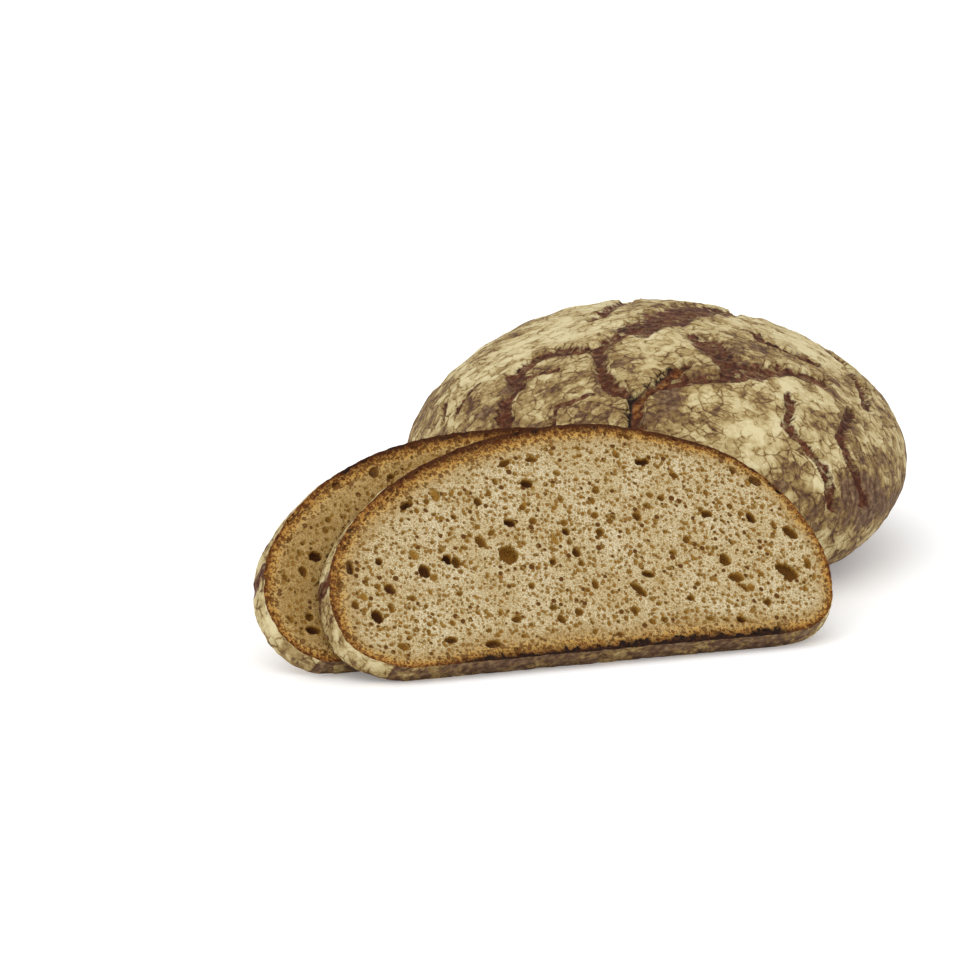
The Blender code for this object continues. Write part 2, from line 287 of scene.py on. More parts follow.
base = add_node(tree, "ShaderNodeMix", {0: gold_and_shadow, 6: plain.outputs[2], 7: hex_colour("d8bf90")},
                data_type="RGBA", blend_type="MULTIPLY")
# pores finer than the mesh, their golden to dark brown colour painted shade: cores of 1.4, 2.2 and 3.6 mm
# cells, each of its cell's own random size
squeeze = add_node(tree, "ShaderNodeTexNoise", {"Vector": where, "Scale": 420.0, "Detail": 1.0})
pressed = add_node(tree, "ShaderNodeVectorMath", {0: squeeze.outputs["Color"], 1: (0.0008, 0.0008, 0.0008),
                                                  2: where}, operation="MULTIPLY_ADD").outputs[0]
pores = []
# cells per metre, growth with the cell's draw, smallest core, darkness of the painted shade
for scale, growth, least, limit in ((720.0, 0.58, 0.03, 0.34), (450.0, 0.60, 0.06, 0.62),
                                    (280.0, 0.60, 0.15, 0.95)):
    cells = add_node(tree, "ShaderNodeTexVoronoi", {"Vector": pressed, "Scale": scale})
    draw = add_node(tree, "ShaderNodeSeparateColor", {0: cells.outputs["Color"]}).outputs[0]
    core = add_node(tree, "ShaderNodeMath", {0: draw, 1: -growth, 2: cells.outputs["Distance"]},
                    operation="MULTIPLY_ADD").outputs[0]
    pores.append(add_node(tree, "ShaderNodeMapRange",
                          {"Value": core, "From Min": -least - 0.14, "From Max": -least,
                           "To Min": limit, "To Max": 0.0}).outputs[0])
fine = add_node(tree, "ShaderNodeMath", {0: pores[0], 1: pores[1]}, operation="MAXIMUM").outputs[0]
pore = add_node(tree, "ShaderNodeMath", {0: fine, 1: pores[2]}, operation="MAXIMUM").outputs[0]
pore_shade_tint = add_node(tree, "ShaderNodeValToRGB", {"Fac": pore},
                     stops=[(0.10, "b0955c"), (0.40, "9c7638"), (0.72, "774e18"), (1.0, "4c2908")])
edge = add_node(tree, "ShaderNodeMapRange", {"Value": pore, "From Min": 0.0, "From Max": 0.22}).outputs[0]
dots = add_node(tree, "ShaderNodeMix", {0: edge, 6: base.outputs[2], 7: pore_shade_tint.outputs["Color"]},
                data_type="RGBA")
# holes: golden at the lip, then painted shade, brown at the floor and darker for deep holes and dark-toned
# ones
shade = add_node(tree, "ShaderNodeMath", {0: 1.15, 1: hole_shade_tone}, operation="SUBTRACT")
deep = add_node(tree, "ShaderNodeMath", {0: hollow, 1: shade.outputs[0]}, operation="MULTIPLY")
hole_floor_shade = add_node(tree, "ShaderNodeValToRGB", {"Fac": deep.outputs[0]},
                      stops=[(0.0, "ab8c4e"), (0.2, "916a2a"), (0.5, "704a14"), (0.95, "3f2007")])
lip = add_node(tree, "ShaderNodeMapRange", {"Value": hollow, "From Min": 0.05, "From Max": 0.22}).outputs[0]
pitted = add_node(tree, "ShaderNodeMix", {0: lip, 6: dots.outputs[2], 7: hole_floor_shade.outputs["Color"]},
                  data_type="RGBA")
# toasted zone behind the crust: golden brown with char flecks and with its pores painted dark brown as
# shade, ragged towards the crumb
ragged = add_node(tree, "ShaderNodeTexNoise", {"Vector": where, "Scale": 480.0, "Detail": 4.0,
                                               "Roughness": 0.7}).outputs["Fac"]
fringe = add_node(tree, "ShaderNodeMath", {0: ragged, 1: 0.5}, operation="SUBTRACT")
reach = add_node(tree, "ShaderNodeMath", {0: fringe.outputs[0], 1: 1.8, 2: toast},
                 operation="MULTIPLY_ADD").outputs[0]
toasted = add_node(tree, "ShaderNodeValToRGB", {"Fac": reach},
                   stops=[(0.0, "4a2608"), (0.10, "80531f"), (0.30, "9f7234"), (0.62, "b18b48"),
                          (1.0, "bca069")])
fade = add_node(tree, "ShaderNodeMapRange", {"Value": reach, "From Min": 0.65, "From Max": 1.20,
                                             "To Min": 1.0, "To Max": 0.0}).outputs[0]
flecks = add_node(tree, "ShaderNodeTexNoise",
                  {"Vector": where, "Scale": 900.0, "Detail": 2.0}).outputs["Fac"]
fleck = add_node(tree, "ShaderNodeMapRange",
                 {"Value": flecks, "From Min": 0.52, "From Max": 0.59}).outputs[0]
# the pores and holes of the toasted zone take the dark brown as painted shade; the flecks are char
pore_and_hole_shade = add_node(tree, "ShaderNodeMath", {0: edge, 1: lip}, operation="MAXIMUM").outputs[0]
dark_pores_and_char = add_node(tree, "ShaderNodeMath", {0: pore_and_hole_shade, 1: fleck}, operation="MAXIMUM").outputs[0]
char_and_shade = add_node(tree, "ShaderNodeMath", {0: dark_pores_and_char, 1: 0.74}, operation="MULTIPLY").outputs[0]
scorched_and_shaded = add_node(tree, "ShaderNodeMix", {0: char_and_shade, 6: toasted.outputs["Color"], 7: hex_colour("5a2905")},
                    data_type="RGBA")
golden = add_node(tree, "ShaderNodeMix", {0: fade, 6: pitted.outputs[2], 7: scorched_and_shaded.outputs[2]},
                  data_type="RGBA")
crumbled = add_node(tree, "ShaderNodeMath", {0: fringe.outputs[0], 1: 3.5, 2: 1.0}, operation="MULTIPLY_ADD")
soot = add_node(tree, "ShaderNodeMath", {0: burn, 1: crumbled.outputs[0]}, operation="MULTIPLY",
                use_clamp=True).outputs[0]
burnt = add_node(tree, "ShaderNodeMix", {0: soot, 6: golden.outputs[2], 7: hex_colour("1c0d06")},
                 data_type="RGBA")
lift = add_node(tree, "ShaderNodeMath", {0: grain, 1: 0.20, 2: 1.0}, operation="MULTIPLY_ADD")
relief = add_node(tree, "ShaderNodeMath", {0: lift.outputs[0], 1: pore}, operation="SUBTRACT")
bump = add_node(tree, "ShaderNodeBump", {"Height": relief.outputs[0], "Strength": 0.9, "Distance": 0.0012})
skin = add_node(tree, "ShaderNodeBsdfPrincipled",
                {"Base Color": burnt.outputs[2], "Roughness": 0.85, "Normal": bump.outputs[0],
                 "Specular IOR Level": 0.15})
add_node(tree, "ShaderNodeOutputMaterial", {"Surface": skin.outputs[0]})


def add_cut_face(name, outline, place, lean, named, seed, rear=False, fine=(446, 222), gold_and_shadow=0.0):
    """A cut face of crumb: the outline filled with a fine grid, its holes pressed in along the normal."""
    curve = outline_curve(outline)
    x, z = face_grid(curve, *fine)
    gap, spot, _ = nearest_crust(x, z, curve)
    depth, hole_shade_tone = crumb_holes(x, z, curve, named, seed)
    depth = depth * np.clip(gap / 1.6, 0, 1)
    level_zero = z * 0
    uneven = 0.12 * lattice_noise(x, z, level_zero, 14.0, seed + 7) * np.clip(gap / 6, 0, 1)
    # thicker crust towards the upper left, thin on the right, thin and burnt along the bottom
    rim_x, rim_z = np.moveaxis(curve[spot.ravel()].reshape(*x.shape, 2), -1, 0)
    lean_left = np.clip((110 - rim_x) / 130, 0, 1) * np.clip(rim_z / 50, 0.3, 1)
    thick = 4.9 + 3.4 * lean_left + 1.3 * lattice_noise(rim_x, rim_z, level_zero, 16.0, seed + 8)
    low = np.clip((rim_x + 78) / 30, 0, 1) * np.clip((112 - rim_x) / 14, 0, 1) * (rim_z < 1.5)
    band = (3.3 + 1.2 * lattice_noise(x, level_zero, level_zero, 9.0, seed + 9)
            + 1.5 * lattice_noise(x, z, level_zero, 2.0, seed + 10))
    burn = low * np.maximum(np.clip((band - gap) / 0.9, 0, 1), 0.50 * np.clip(1.4 - gap / 5.0, 0, 1))
    thick = thick + 3.4 * low
    # flat charred pores that lie along the crust, a few millimetres long and under 1 mm high
    streak = lattice_noise(spot * 0.7, gap * 4.5, level_zero, 4.0, seed + 12)
    dark_pores_and_char = np.clip(3.4 * streak - 0.9, 0, 1) * np.clip(1.4 - gap / (0.5 * thick), 0, 1) * (gap > 0.4)
    dark_pores_and_char = dark_pores_and_char * np.clip((rim_z - 35) / 40, 0.3, 1)
    burn = np.maximum(burn, 0.85 * dark_pores_and_char)
    # the crown of the loaf baked darkest, so the ring is browner and wider along the top
    crown = np.clip((rim_z - 88) / 22, 0, 1)
    burn = np.maximum(burn, 0.40 * crown * np.clip(1.25 - gap / (0.62 * thick), 0, 1))
    # the crumb stays golden for another few millimetres behind the toasted ring
    gold = 0.75 * np.clip(2.0 - gap / thick, 0, 1)
    marks = {"hollow": np.clip(depth / 2.8, 0, 1), "hole_shade_tone": hole_shade_tone,
             "toast": gap / thick - 0.24 * crown, "burn": burn, "gold_and_shadow": np.maximum(gold_and_shadow, gold)}
    grow = 1 + FLARE * rear
    inward = (0.0 - depth - uneven) if rear else (depth + uneven - SLICE_THICK)
    points = lean_back(x * grow, inward, z * grow, place, lean).reshape(-1, 3)
    return add_surface(name, points, grid_faces(fine[0] + 1, fine[1] + 1), crumb, marks, flip=rear)


front_cut = add_cut_face("slice_front_cut_face", FRONT_OUTLINE, FRONT_PLACE, FRONT_LEAN, FRONT_HOLES, 11)
front_rear = add_cut_face("slice_front_rear_face", FRONT_OUTLINE, FRONT_PLACE, FRONT_LEAN, [], 23,
                          rear=True, fine=(280, 140))
for piece in (front_cut, front_rear):
    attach(piece, "root")
    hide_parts("slice_front")

# Front slice, crust rim
# The rim is the loaf's own outer crust, seen as a band 12.5 mm wide: pale rye flour that split into
# small plates as the loaf rose, with pinkish brown crust in the splits, and a smoother bottom.
crust = bpy.data.materials.new("rye_crust_floured")
crust.use_nodes = True
tree = crust.node_tree
tree.nodes.clear()
where = add_node(tree, "ShaderNodeTexCoord").outputs["Object"]
gap = add_node(tree, "ShaderNodeAttribute", attribute_name="gap").outputs["Fac"]
flour = add_node(tree, "ShaderNodeAttribute", attribute_name="flour").outputs["Fac"]
fresh_crack_and_lip_shadow = add_node(tree, "ShaderNodeAttribute", attribute_name="fresh_crack_and_lip_shadow").outputs["Fac"]
# flour plates about 7 mm across, each of its own thickness, wandering splits between them and finer
# ones 3 mm apart
wander = add_node(tree, "ShaderNodeTexNoise",
                  {"Vector": where, "Scale": 130.0, "Detail": 2.5, "Roughness": 0.5})
bent = add_node(tree, "ShaderNodeVectorMath",
                {0: wander.outputs["Color"], 1: (0.006, 0.006, 0.006), 2: where},
                operation="MULTIPLY_ADD").outputs[0]
patch = add_node(tree, "ShaderNodeTexNoise", {"Vector": where, "Scale": 60.0, "Detail": 6.0,
                                              "Roughness": 0.65}).outputs["Fac"]
dust = add_node(tree, "ShaderNodeTexNoise", {"Vector": where, "Scale": 300.0, "Detail": 4.0,
                                             "Roughness": 0.6}).outputs["Fac"]
plate = add_node(tree, "ShaderNodeTexVoronoi", {"Vector": bent, "Scale": 150.0}).outputs["Color"]
share = add_node(tree, "ShaderNodeSeparateColor", {0: plate}).outputs[0]
splits = []
for scale, line, strength in ((150.0, 0.12, 1.0), (340.0, 0.14, 0.42)):
    cells = add_node(tree, "ShaderNodeTexVoronoi", {"Vector": bent, "Scale": scale},
                     feature="DISTANCE_TO_EDGE")
    splits.append(add_node(tree, "ShaderNodeMapRange",
                           {"Value": cells.outputs["Distance"], "From Min": 0.0, "From Max": line,
                            "To Min": strength, "To Max": 0.0}).outputs[0])
lines = add_node(tree, "ShaderNodeMath", {0: splits[0], 1: splits[1]}, operation="MAXIMUM").outputs[0]
zone = add_node(tree, "ShaderNodeMapRange", {"Value": wander.outputs["Fac"], "From Min": 0.36,
                                             "From Max": 0.58}).outputs[0]
split = add_node(tree, "ShaderNodeMath", {0: lines, 1: zone}, operation="MULTIPLY").outputs[0]
# torn edge of a burst: the crack's own distance, frayed by flakes of up to 8 mm
fray = add_node(tree, "ShaderNodeTexNoise", {"Vector": where, "Scale": 260.0, "Detail": 6.0,
                                             "Roughness": 0.7}).outputs["Fac"]
nibbled = add_node(tree, "ShaderNodeMath", {0: wander.outputs["Fac"], 1: 1.6, 2: gap},
                   operation="MULTIPLY_ADD").outputs[0]
torn = add_node(tree, "ShaderNodeMath", {0: fray, 1: 1.0, 2: nibbled}, operation="MULTIPLY_ADD").outputs[0]
burst = add_node(tree, "ShaderNodeMapRange", {"Value": torn, "From Min": 2.00, "From Max": 2.30,
                                              "To Min": 1.0, "To Max": 0.0}).outputs[0]
# bare crust: red-brown to purplish grey-brown, darker down in a burst
bare = add_node(tree, "ShaderNodeValToRGB", {"Fac": dust},
                stops=[(0.34, "27120b"), (0.46, "472417"), (0.56, "633a27"), (0.68, "825b43")])
deep = add_node(tree, "ShaderNodeMapRange", {"Value": gap, "From Min": 0.1, "From Max": 1.1,
                                             "To Min": 0.55, "To Max": 0.0}).outputs[0]
rusty = add_node(tree, "ShaderNodeValToRGB", {"Fac": patch},
                 stops=[(0.40, "33190d"), (0.60, "5e2e13")])
sunk = add_node(tree, "ShaderNodeMix", {0: deep, 6: bare.outputs["Color"], 7: rusty.outputs["Color"]},
                data_type="RGBA")
vein = add_node(tree, "ShaderNodeValToRGB", {"Fac": dust},
                stops=[(0.36, "48301f"), (0.52, "654b36"), (0.66, "8a7252")])
inside = add_node(tree, "ShaderNodeMix", {0: burst, 6: vein.outputs["Color"], 7: sunk.outputs[2]},
                  data_type="RGBA")
ember = add_node(tree, "ShaderNodeValToRGB", {"Fac": dust},
                 stops=[(0.36, "2a1409"), (0.46, "5c2f11"), (0.54, "7f4a1a"), (0.66, "98652a")])
fresh = add_node(tree, "ShaderNodeMix", {0: fresh_crack_and_lip_shadow, 6: inside.outputs[2], 7: ember.outputs["Color"]},
                 data_type="RGBA")
# below zero the mark paints a near-black line: the shadow under the fresh crack's overhanging upper lip
lip_shadow_mask = add_node(tree, "ShaderNodeMath", {0: fresh_crack_and_lip_shadow, 1: -1.0}, operation="MULTIPLY",
                use_clamp=True).outputs[0]
edged = add_node(tree, "ShaderNodeMix", {0: lip_shadow_mask, 6: fresh.outputs[2], 7: hex_colour("1c100b")},
                 data_type="RGBA")
# flour: ivory where it lies thick, olive-brown where thin, gone where it was rubbed off
coarse = add_node(tree, "ShaderNodeMath", {0: patch, 1: 1.8, 2: flour}, operation="MULTIPLY_ADD").outputs[0]
plated = add_node(tree, "ShaderNodeMath", {0: share, 1: 0.34, 2: coarse},
                  operation="MULTIPLY_ADD").outputs[0]
speck = add_node(tree, "ShaderNodeMath", {0: dust, 1: 0.8, 2: plated}, operation="MULTIPLY_ADD").outputs[0]
level = add_node(tree, "ShaderNodeMath", {0: split, 1: -0.50, 2: speck}, operation="MULTIPLY_ADD").outputs[0]
even = add_node(tree, "ShaderNodeMath", {0: level, 1: 1.43}, operation="SUBTRACT").outputs[0]
powder = add_node(tree, "ShaderNodeValToRGB", {"Fac": even},
                  stops=[(0.12, "6b4f2c"), (0.30, "82683e"), (0.46, "9c8557"), (0.64, "b8a678"),
                         (0.95, "cfc197")])
cover = add_node(tree, "ShaderNodeMapRange", {"Value": even, "From Min": 0.06, "From Max": 0.26}).outputs[0]
hold = add_node(tree, "ShaderNodeMapRange", {"Value": fray, "From Min": 0.48, "From Max": 0.62,
                                             "To Min": 1.0, "To Max": 0.62}).outputs[0]
closed = add_node(tree, "ShaderNodeMath", {0: burst, 1: hold}, operation="MULTIPLY").outputs[0]
opened = add_node(tree, "ShaderNodeMath", {0: 1.0, 1: closed}, operation="SUBTRACT").outputs[0]
coat = add_node(tree, "ShaderNodeMath", {0: cover, 1: opened}, operation="MULTIPLY").outputs[0]
dressed = add_node(tree, "ShaderNodeMix", {0: coat, 6: edged.outputs[2], 7: powder.outputs["Color"]},
                   data_type="RGBA")
heap = add_node(tree, "ShaderNodeMath", {0: coat, 1: even}, operation="MULTIPLY").outputs[0]
rubble = add_node(tree, "ShaderNodeMath", {0: fray, 1: 0.8, 2: heap}, operation="MULTIPLY_ADD").outputs[0]
bump = add_node(tree, "ShaderNodeBump", {"Height": rubble, "Strength": 0.55, "Distance": 0.0014})
skin = add_node(tree, "ShaderNodeBsdfPrincipled",
                {"Base Color": dressed.outputs[2], "Roughness": 0.78, "Normal": bump.outputs[0],
                 "Specular IOR Level": 0.15})
add_node(tree, "ShaderNodeOutputMaterial", {"Surface": skin.outputs[0]})


def add_rim(name, outline, place, lean, seed, fine=(446, 222), rings=22):
    """The crust band: the cut face's border carried back through the thickness, flaring and bulging."""
    x, z = face_grid(outline_curve(outline), *fine)
    # the border points of the cut face's grid, once round
    loop = np.stack([np.concatenate([side[:-1, 0], side[-1, :-1], side[:0:-1, -1], side[0, :0:-1]])
                     for side in (x, z)], axis=1)
    back = np.linspace(0, 1, rings + 1)[:, None]
    grow = 1 + FLARE * back + 0.004 * np.sin(np.pi * back)
    along, up = loop[None, :, 0] * grow, loop[None, :, 1] * grow
    inward = SLICE_THICK * (back - 1) + 0 * along
    outx, outz = loop[:, 0] - FACE_MIDDLE[0], (loop[:, 1] - FACE_MIDDLE[1]) * 1.8
    size = np.hypot(outx, outz)
    inner = np.sin(np.pi * back)
    rough = (0.45 * lattice_noise(along, inward, up, 6.0, seed)
             + 0.25 * lattice_noise(along, inward, up, 2.2, seed + 1))
    rough = rough * inner * np.clip(up / 4, 0, 1)
    along, up = along + rough * outx / size, up + rough * outz / size
    # a burst of the loaf's crust crosses the left end of the slice
    burst = np.where(along < 0, np.abs(up - 47 + 0.3 * inward) / 5.0, 3.0)
    worn = 2.1 - 1.7 * lattice_noise(along, inward, up, 12.0, seed + 2)
    marks = {"gap": np.where(up < 2, 3.0, np.minimum(burst, worn)),
             "flour": np.where(up < 2, 0.14, 0.64) + 0.2 * lattice_noise(along, inward, up, 20.0, seed + 3),
             "fresh_crack_and_lip_shadow": 0 * along}
    points = lean_back(along, inward, up, place, lean).reshape(-1, 3)
    return add_surface(name, points, grid_faces(rings + 1, len(loop), closed=True), crust, marks, flip=True)


front_rim = add_rim("slice_front_rim", FRONT_OUTLINE, FRONT_PLACE, FRONT_LEAN, 31)
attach(front_rim, "root")
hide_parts("slice_front")

# Rear slice
# The next slice of the same bread, a little lower, leaning on the loaf's shoulder.
BACK_PLACE = (-42.1, -177.75)
BACK_LEAN = math.radians(39.5)
BACK_OUTLINE = [
    (-119, 30), (-116, 50), (-108, 66), (-92, 83), (-74, 96), (-50, 107), (-30, 112.5), (-8, 115.5),
    (15, 116.5), (36, 115.5), (56, 111), (76, 102), (94, 89), (108, 73), (118, 54), (122, 34),
    (119, 14), (109, 1), (92, 0), (50, 0), (0, 0), (-50, 0), (-88, 0), (-102, 3), (-113, 13),
]
BACK_HOLES = [
    (-89, 56, 6.1, 5.3, 0, 3.6, .1), (-97, 49, 3.3, 5.3, 10, 2.6, .3),
    (-99, 18, 7.1, 4.6, -12, 3.2, .2), (-99, 25, 4, 4.2, 0, 2.4, .3), (-50, 98, 4.6, 6, -32, 2.8, .3),
    (-42, 95, 4.6, 2.6, 0, 2.4, .2), (-71, 92, 3, 3.2, 0, 2, .4), (20, 40, 7, 6, 0, 3.6, .2),
    (60, 62, 8, 5, 20, 3.6, .2), (88, 30, 6, 6, 0, 3.4, .2), (-20, 70, 6, 5, 0, 3.4, .2),
]
REAR_HOLES = [
    (-70, 60, 8, 6, 20, 3.6, .2), (-30, 30, 6, 6, 0, 3.4, .2), (10, 80, 7, 5, -15, 3.4, .2),
    (45, 40, 9, 6, 10, 3.8, .2), (80, 66, 6, 8, 0, 3.6, .2), (-95, 35, 5, 7, 0, 3.2, .2),
    (-50, 92, 6, 4, 25, 3, .2),
]
# The rear slice's cut face is browned by 0.9 all over: painted shadow of the front slice.
back_cut = add_cut_face("slice_back_cut_face", BACK_OUTLINE, BACK_PLACE, BACK_LEAN, BACK_HOLES, 41, gold_and_shadow=0.9)
back_rear = add_cut_face("slice_back_rear_face", BACK_OUTLINE, BACK_PLACE, BACK_LEAN, REAR_HOLES, 53, True)
back_rim = add_rim("slice_back_rim", BACK_OUTLINE, BACK_PLACE, BACK_LEAN, 61)
for piece in (back_cut, back_rear, back_rim):
    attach(piece, "root")
    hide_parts("slice_back")

# Loaf
# The uncut loaf: an oval dome baked free on its flat bottom.  The floured skin set early and burst
# as the dough went on rising, so wide torn cracks of bare crust run between plates of flour.
LOAF_PLACE = (35.5, 67.85)
HALF_WIDTH, HALF_LENGTH, LOAF_HEIGHT, WIDEST_AT = 128.0, 166.0, 123.0, 43.0
SHOULDER_TILT, LUMP, BASE_CUT = 0.02, 1.4, 0.72
# Burst cracks: half width and depth (mm), then bearing round the loaf and height angle (degrees).
CRACKS = [
    (12.0, 2.0, [(32, 75), (10, 84), (-80, 84), (-114, 77)]),
    (4.8, 2.4, [(-114, 77), (-126, 66), (-138, 62), (-148, 60), (-153, 54), (-150, 47), (-144, 44)]),
    (4.8, 2.8, [(-152, 47), (-144, 44), (-142, 38), (-137, 29)]),
    (4.2, 2.6, [(-126, 65), (-117, 56), (-110, 49), (-103, 47)]),
    (4.0, 4.2, [(-80, 59), (-87, 56), (-95, 49), (-100, 45), (-99, 35)]),
    (5.8, 2.8, [(-94, 50), (-78, 53), (-62, 52), (-48, 53), (-36, 52), (-24, 44)]),
    (9.0, 2.6, [(-60, 69), (-60, 62), (-64, 54)]),
    (4.0, 1.8, [(-10, 67), (-22, 64), (-15, 56), (-14, 50)]),
    (3.8, 2.8, [(-48, 42), (-56, 33), (-53, 26), (-51, 18), (-50, 4)]),
    (4.0, 2.0, [(-26, 32), (-40, 26), (-40, 14), (-38, 0)]),
    (2.6, 2.0, [(-177, 42), (-171, 32), (-161, 23)]),
    (2.2, 1.5, [(-160, 39), (-157, 28)]),
    (8.0, 2.8, [(28, 76), (40, 62), (52, 52), (64, 44), (72, 30)]),
    (5.0, 2.6, [(40, 62), (26, 48), (6, 40), (-8, 33), (-16, 30)]),
    (7.0, 3.0, [(52, 52), (76, 52), (100, 57), (124, 54), (144, 44), (152, 28)]),
    (6.0, 2.6, [(100, 57), (112, 70), (150, 76), (172, 76)]),
    (5.5, 2.6, [(76, 52), (88, 38), (86, 24), (92, 8)]),
    (5.0, 2.4, [(144, 44), (160, 38), (168, 26), (166, 12)]),
    (5.0, 2.4, [(112, 36), (124, 26), (126, 10)]),
    (5.0, 2.4, [(26, 48), (36, 34), (34, 18), (42, 4)]),
    (1.6, 0.8, [(-146, 46), (-141, 50), (-134, 53)]),
    (1.4, 0.8, [(-122, 33), (-124, 40), (-120, 42), (-114, 46)]),
]
FRESH = 4                     # the crack that tore last, with golden crumb in it
# The fresh crack's upper lip overhangs it; the near-black line along it is painted shadow.
OVERHANG_SHADOW = [(1.5, 0.0, [(-83, 61), (-92, 56), (-97, 51), (-102, 46), (-101.5, 36)])]   # its dark upper lip
# Flour heaps: bearing, height angle, spread (degrees) and thickness; below 0 it was rubbed off.
FLOUR = [
    (-106, 66, 6, .22), (-92, 70, 7, .27), (-74, 72, 7, .27), (-66, 33, 8, .32), (-68, 24, 8, .28),
    (-57, 34, 6, .3), (-63, 51, 6, .2), (-46, 46, 7, .4), (-38, 40, 6, .4), (-44, 18, 6, .5),
    (-52, 13, 5, .4), (-80, 45, 4, .4), (-82, 35, 5, .3), (-66, 16, 5, -.2), (-88, 46, 4, -.45),
    (-93, 40, 4, -.3), (12, 64, 12, .36), (1, 55, 8, .36), (2, 46, 7, .38), (-28, 74, 8, .28),
    (-164, 40, 7, .45), (-172, 54, 7, .5), (-160, 66, 6, .45), (176, 66, 7, .35), (-150, 80, 7, .35),
    (-165, 26, 8, .25), (-157, 52, 5, .3), (-140, 72, 5, .35), (-130, 58, 5, .2), (-124, 34, 14, .05),
    (-41, 5, 9, -.65), (-32, -5, 7, -.4), (-44, -22, 9, .45), (-24, -22, 9, .3), (-58, -12, 9, .3),
    (-14, 14, 9, .18), (-20, 32, 8, .2), (30, 20, 16, .3), (60, 62, 14, .4), (70, 20, 14, -.3),
    (100, 40, 14, .45), (130, 66, 16, .5), (140, 20, 16, .3), (165, 36, 10, .45), (105, 12, 12, -.3),
    (15, 32, 10, .35),
]


def crack_field(x, y, z, cracks):
    """Nearest crack of every direction: distance in half widths (ragged), its depth and its number."""
    ragged = 0.42 * lattice_noise(x, y, z, 0.075, 71) + 0.28 * lattice_noise(x, y, z, 0.03, 72)
    best, deep, which = np.full(x.shape, 9.0), np.zeros(x.shape), np.zeros(x.shape, int)
    for number, (half, depth, stations) in enumerate(cracks):
        b, h = np.radians(np.array(stations, float)).T
        ends = np.stack([np.cos(h) * np.cos(b), np.cos(h) * np.sin(b), np.sin(h)], 1)
        for p, q in zip(ends[:-1], ends[1:]):
            run = q - p
            t = ((x - p[0]) * run[0] + (y - p[1]) * run[1] + (z - p[2]) * run[2]) / (run @ run)
            t = np.clip(t, 0, 1)
            px, py, pz = (p[k] + t * run[k] for k in range(3))
            size = np.sqrt(px * px + py * py + pz * pz)
            gap = np.sqrt((x - px / size)**2 + (y - py / size)**2 + (z - pz / size)**2) * HALF_WIDTH / half
            nearer = gap < best
            best, deep = np.where(nearer, gap, best), np.where(nearer, depth, deep)
            which = np.where(nearer, number, which)
    return best + ragged, deep, which


def flour_cover(x, y, z):
    """Flour: a thin coat, less under the shoulder and on the crown, and a bell for each heap."""
    cover = 0.37 - 0.5 * np.clip(0.12 - z, 0, 1) - 0.9 * np.clip(z - 0.88, 0, 1)
    for bearing, height, spread, amount in FLOUR:
        b, h = math.radians(bearing), math.radians(height)
        cosine = x * math.cos(h) * math.cos(b) + y * math.cos(h) * math.sin(b) + z * math.sin(h)
        cover = cover + amount * np.exp(2 * (cosine - 1) / math.radians(spread) ** 2)
    return cover


def loaf_surface(steps):
    """Square grid pulled to a disc, and the disc wrapped over the dome from the crown to the table.

    The cracks are sunk with steep walls, their floors are torn, and the plates between them are uneven.
    """
    p, q = np.meshgrid(np.linspace(-1, 1, steps + 1), np.linspace(-1, 1, steps + 1), indexing="ij")
    e, g = p * np.sqrt(1 - q * q / 2), q * np.sqrt(1 - p * p / 2)
    away, bearing = np.hypot(e, g), np.arctan2(g, e)
    fall = away * (np.pi / 2 + math.asin(BASE_CUT))
    x, y, z = np.sin(fall) * np.cos(bearing), np.sin(fall) * np.sin(bearing), np.cos(fall)
    rise = np.where(z > 0, LOAF_HEIGHT - WIDEST_AT, WIDEST_AT / BASE_CUT)
    px, py, pz = HALF_WIDTH * x, HALF_LENGTH * y, WIDEST_AT + rise * z
    pz = pz - SHOULDER_TILT * px * np.clip(z, 0, 1)
    out = np.stack([x / HALF_WIDTH, y / HALF_LENGTH, z / rise])
    out = out / np.sqrt((out**2).sum(axis=0))
    fade = np.clip((z + BASE_CUT) / 0.25, 0, 1)
    lumps = LUMP * (np.sin(5.1 * x + 2.3 * y + 1.0) + np.sin(4.4 * y - 3.6 * z + 2.1)
                    + 0.6 * np.sin(7.9 * z + 5.2 * x - 4.8 * y))
    gap, deep, which = crack_field(x, y, z, CRACKS)
    glow = np.clip(0.55 + 1.4 * lattice_noise(px, py, pz, 8.0, 77), 0, 1) * np.clip(1.3 - gap, 0, 1)
    # painted shadow under the fresh crack's overhanging upper lip, carried as negative values of the fresh
    # crack's mark
    lip_shadow = np.clip(1.6 - crack_field(x, y, z, OVERHANG_SHADOW)[0], 0, 1)
    wall = np.clip((1.15 - gap) / 0.45, 0, 1)
    sunk = wall * wall * (3 - 2 * wall) * (0.8 + 0.2 * np.clip(1 - gap, 0, 1))
    torn = 0.8 * lattice_noise(px, py, pz, 3.2, 73) + 0.45 * lattice_noise(px, py, pz, 1.7, 74)
    plates = 0.55 * lattice_noise(px, py, pz, 11.0, 75) + 0.35 * lattice_noise(px, py, pz, 4.0, 76)
    lip = 0.45 * np.exp(-((gap - 1.35) / 0.3) ** 2)
    push = fade * (lumps - deep * sunk + torn * sunk + plates * (1 - sunk) + lip)
    points = np.stack([px + out[0] * push + LOAF_PLACE[0], py + out[1] * push + LOAF_PLACE[1],
                       np.maximum(pz + out[2] * push, 0)], axis=-1)
    marks = {"gap": np.clip(gap, 0, 3), "fresh_crack_and_lip_shadow": (which == FRESH) * glow - 2 * lip_shadow,
             "flour": flour_cover(x, y, z)}
    return points.reshape(-1, 3), marks


CRUST_STEPS = 314             # faces along each side of the crust's grid
crust_points, crust_marks = loaf_surface(CRUST_STEPS)
loaf_crust = add_surface("loaf_crust", crust_points, grid_faces(CRUST_STEPS + 1, CRUST_STEPS + 1), crust,
                         crust_marks)


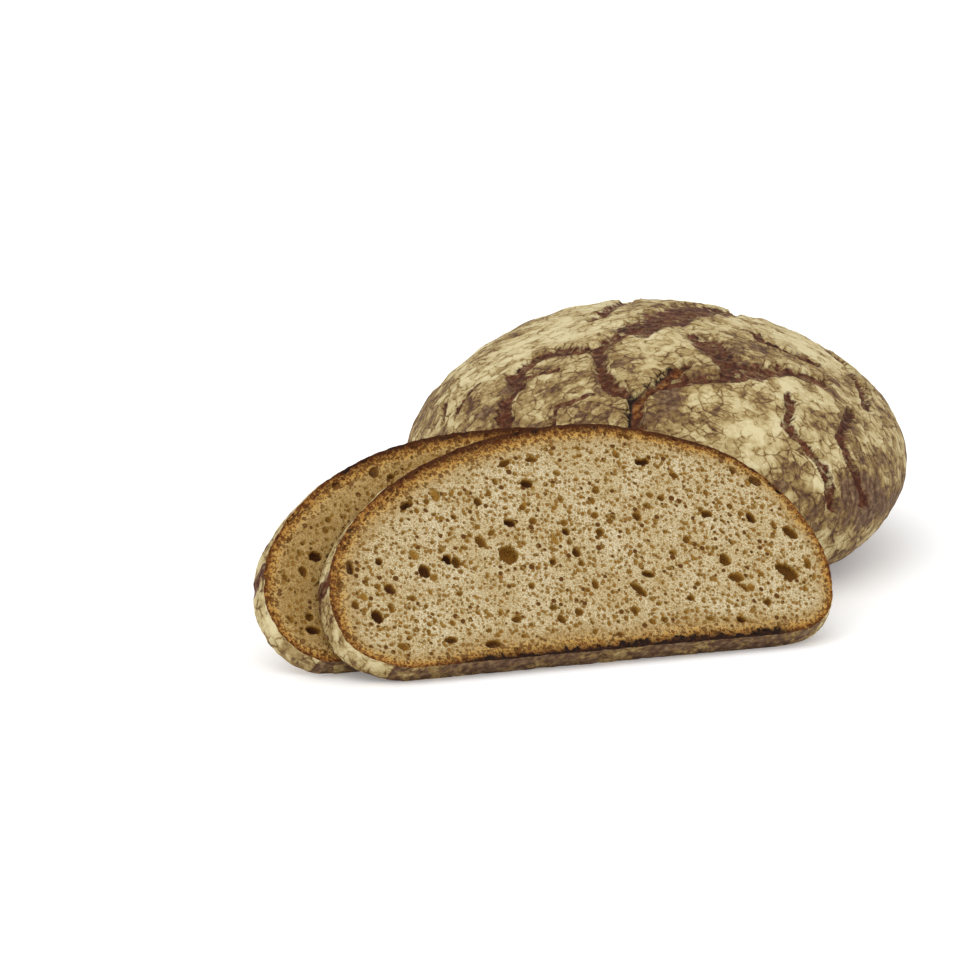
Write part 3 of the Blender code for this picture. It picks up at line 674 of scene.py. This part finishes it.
def loaf_bottom(rings, round_steps):
    """Flat baked bottom: rings shrinking to the middle, hollowed by under a millimetre."""
    share = np.linspace(1, 0, rings + 1)[:, None]
    bearing = np.linspace(0, 2 * np.pi, round_steps, endpoint=False)[None, :]
    edge = math.cos(math.asin(BASE_CUT))
    x, y = HALF_WIDTH * edge * share * np.cos(bearing), HALF_LENGTH * edge * share * np.sin(bearing)
    z = 0.8 * np.sqrt(np.clip(1 - share, 0, 1)) + 0.0 * x
    return np.stack([x + LOAF_PLACE[0], y + LOAF_PLACE[1], z], axis=-1).reshape(-1, 3)


BOTTOM_RINGS, BOTTOM_STEPS = 30, 240
bottom = loaf_bottom(BOTTOM_RINGS, BOTTOM_STEPS)
bottom_marks = {"gap": 0 * bottom[:, 0] + 2, "flour": 0 * bottom[:, 0] + 0.1, "fresh_crack_and_lip_shadow": 0 * bottom[:, 0]}
loaf_base = add_surface("loaf_bottom", bottom, grid_faces(BOTTOM_RINGS + 1, BOTTOM_STEPS, closed=True),
                        crust, bottom_marks, flip=True)
for piece in (loaf_crust, loaf_base):
    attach(piece, "root")
    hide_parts("loaf")

# Floor, light and camera
# A white acrylic light table in a white room, faintly lit from below, with a large soft box at the
# upper left and a weak one on the right.
acrylic = bpy.data.materials.new("white_acrylic_table")
acrylic.use_nodes = True
skin = acrylic.node_tree.nodes["Principled BSDF"]
skin.inputs["Base Color"].default_value = hex_colour("f4f4f4")
skin.inputs["Roughness"].default_value = 0.6
skin.inputs["Emission Color"].default_value = (1.0, 1.0, 1.0, 1.0)
skin.inputs["Emission Strength"].default_value = 0.18
floor_mesh = bpy.data.meshes.new("studio_floor")
floor_mesh.from_pydata([(-6, -6, 0), (6, -6, 0), (6, 10, 0), (-6, 10, 0)], [], [(0, 1, 2, 3)])
floor_mesh.materials.append(acrylic)
floor = bpy.data.objects.new("studio_floor", floor_mesh)
bpy.context.scene.collection.objects.link(floor)

world = bpy.data.worlds.new("white_room")
world.use_nodes = True
world.node_tree.nodes["Background"].inputs["Color"].default_value = (1.0, 1.0, 1.0, 1.0)
world.node_tree.nodes["Background"].inputs["Strength"].default_value = 0.90
bpy.context.scene.world = world
for name, energy, tilt, side in (("soft_box_left", 1.05, 34, -18), ("soft_box_right", 0.25, 20, 42)):
    soft_box = bpy.data.lights.new(name, "SUN")
    soft_box.energy, soft_box.angle = energy, math.radians(50)
    holder = bpy.data.objects.new(name, soft_box)
    holder.rotation_euler = (math.radians(tilt), math.radians(side), 0)
    bpy.context.scene.collection.objects.link(holder)

camera = bpy.data.cameras.new("camera")
camera.lens, camera.sensor_width = 195.0, 36.0
viewer = bpy.data.objects.new("camera", camera)
viewer.location = (-0.0571, -2.5789, 0.5949)
viewer.rotation_euler = (math.radians(90 - 11.96), 0, 0)
bpy.context.scene.collection.objects.link(viewer)
bpy.context.scene.camera = viewer
bpy.context.scene.view_settings.view_transform = "Standard"
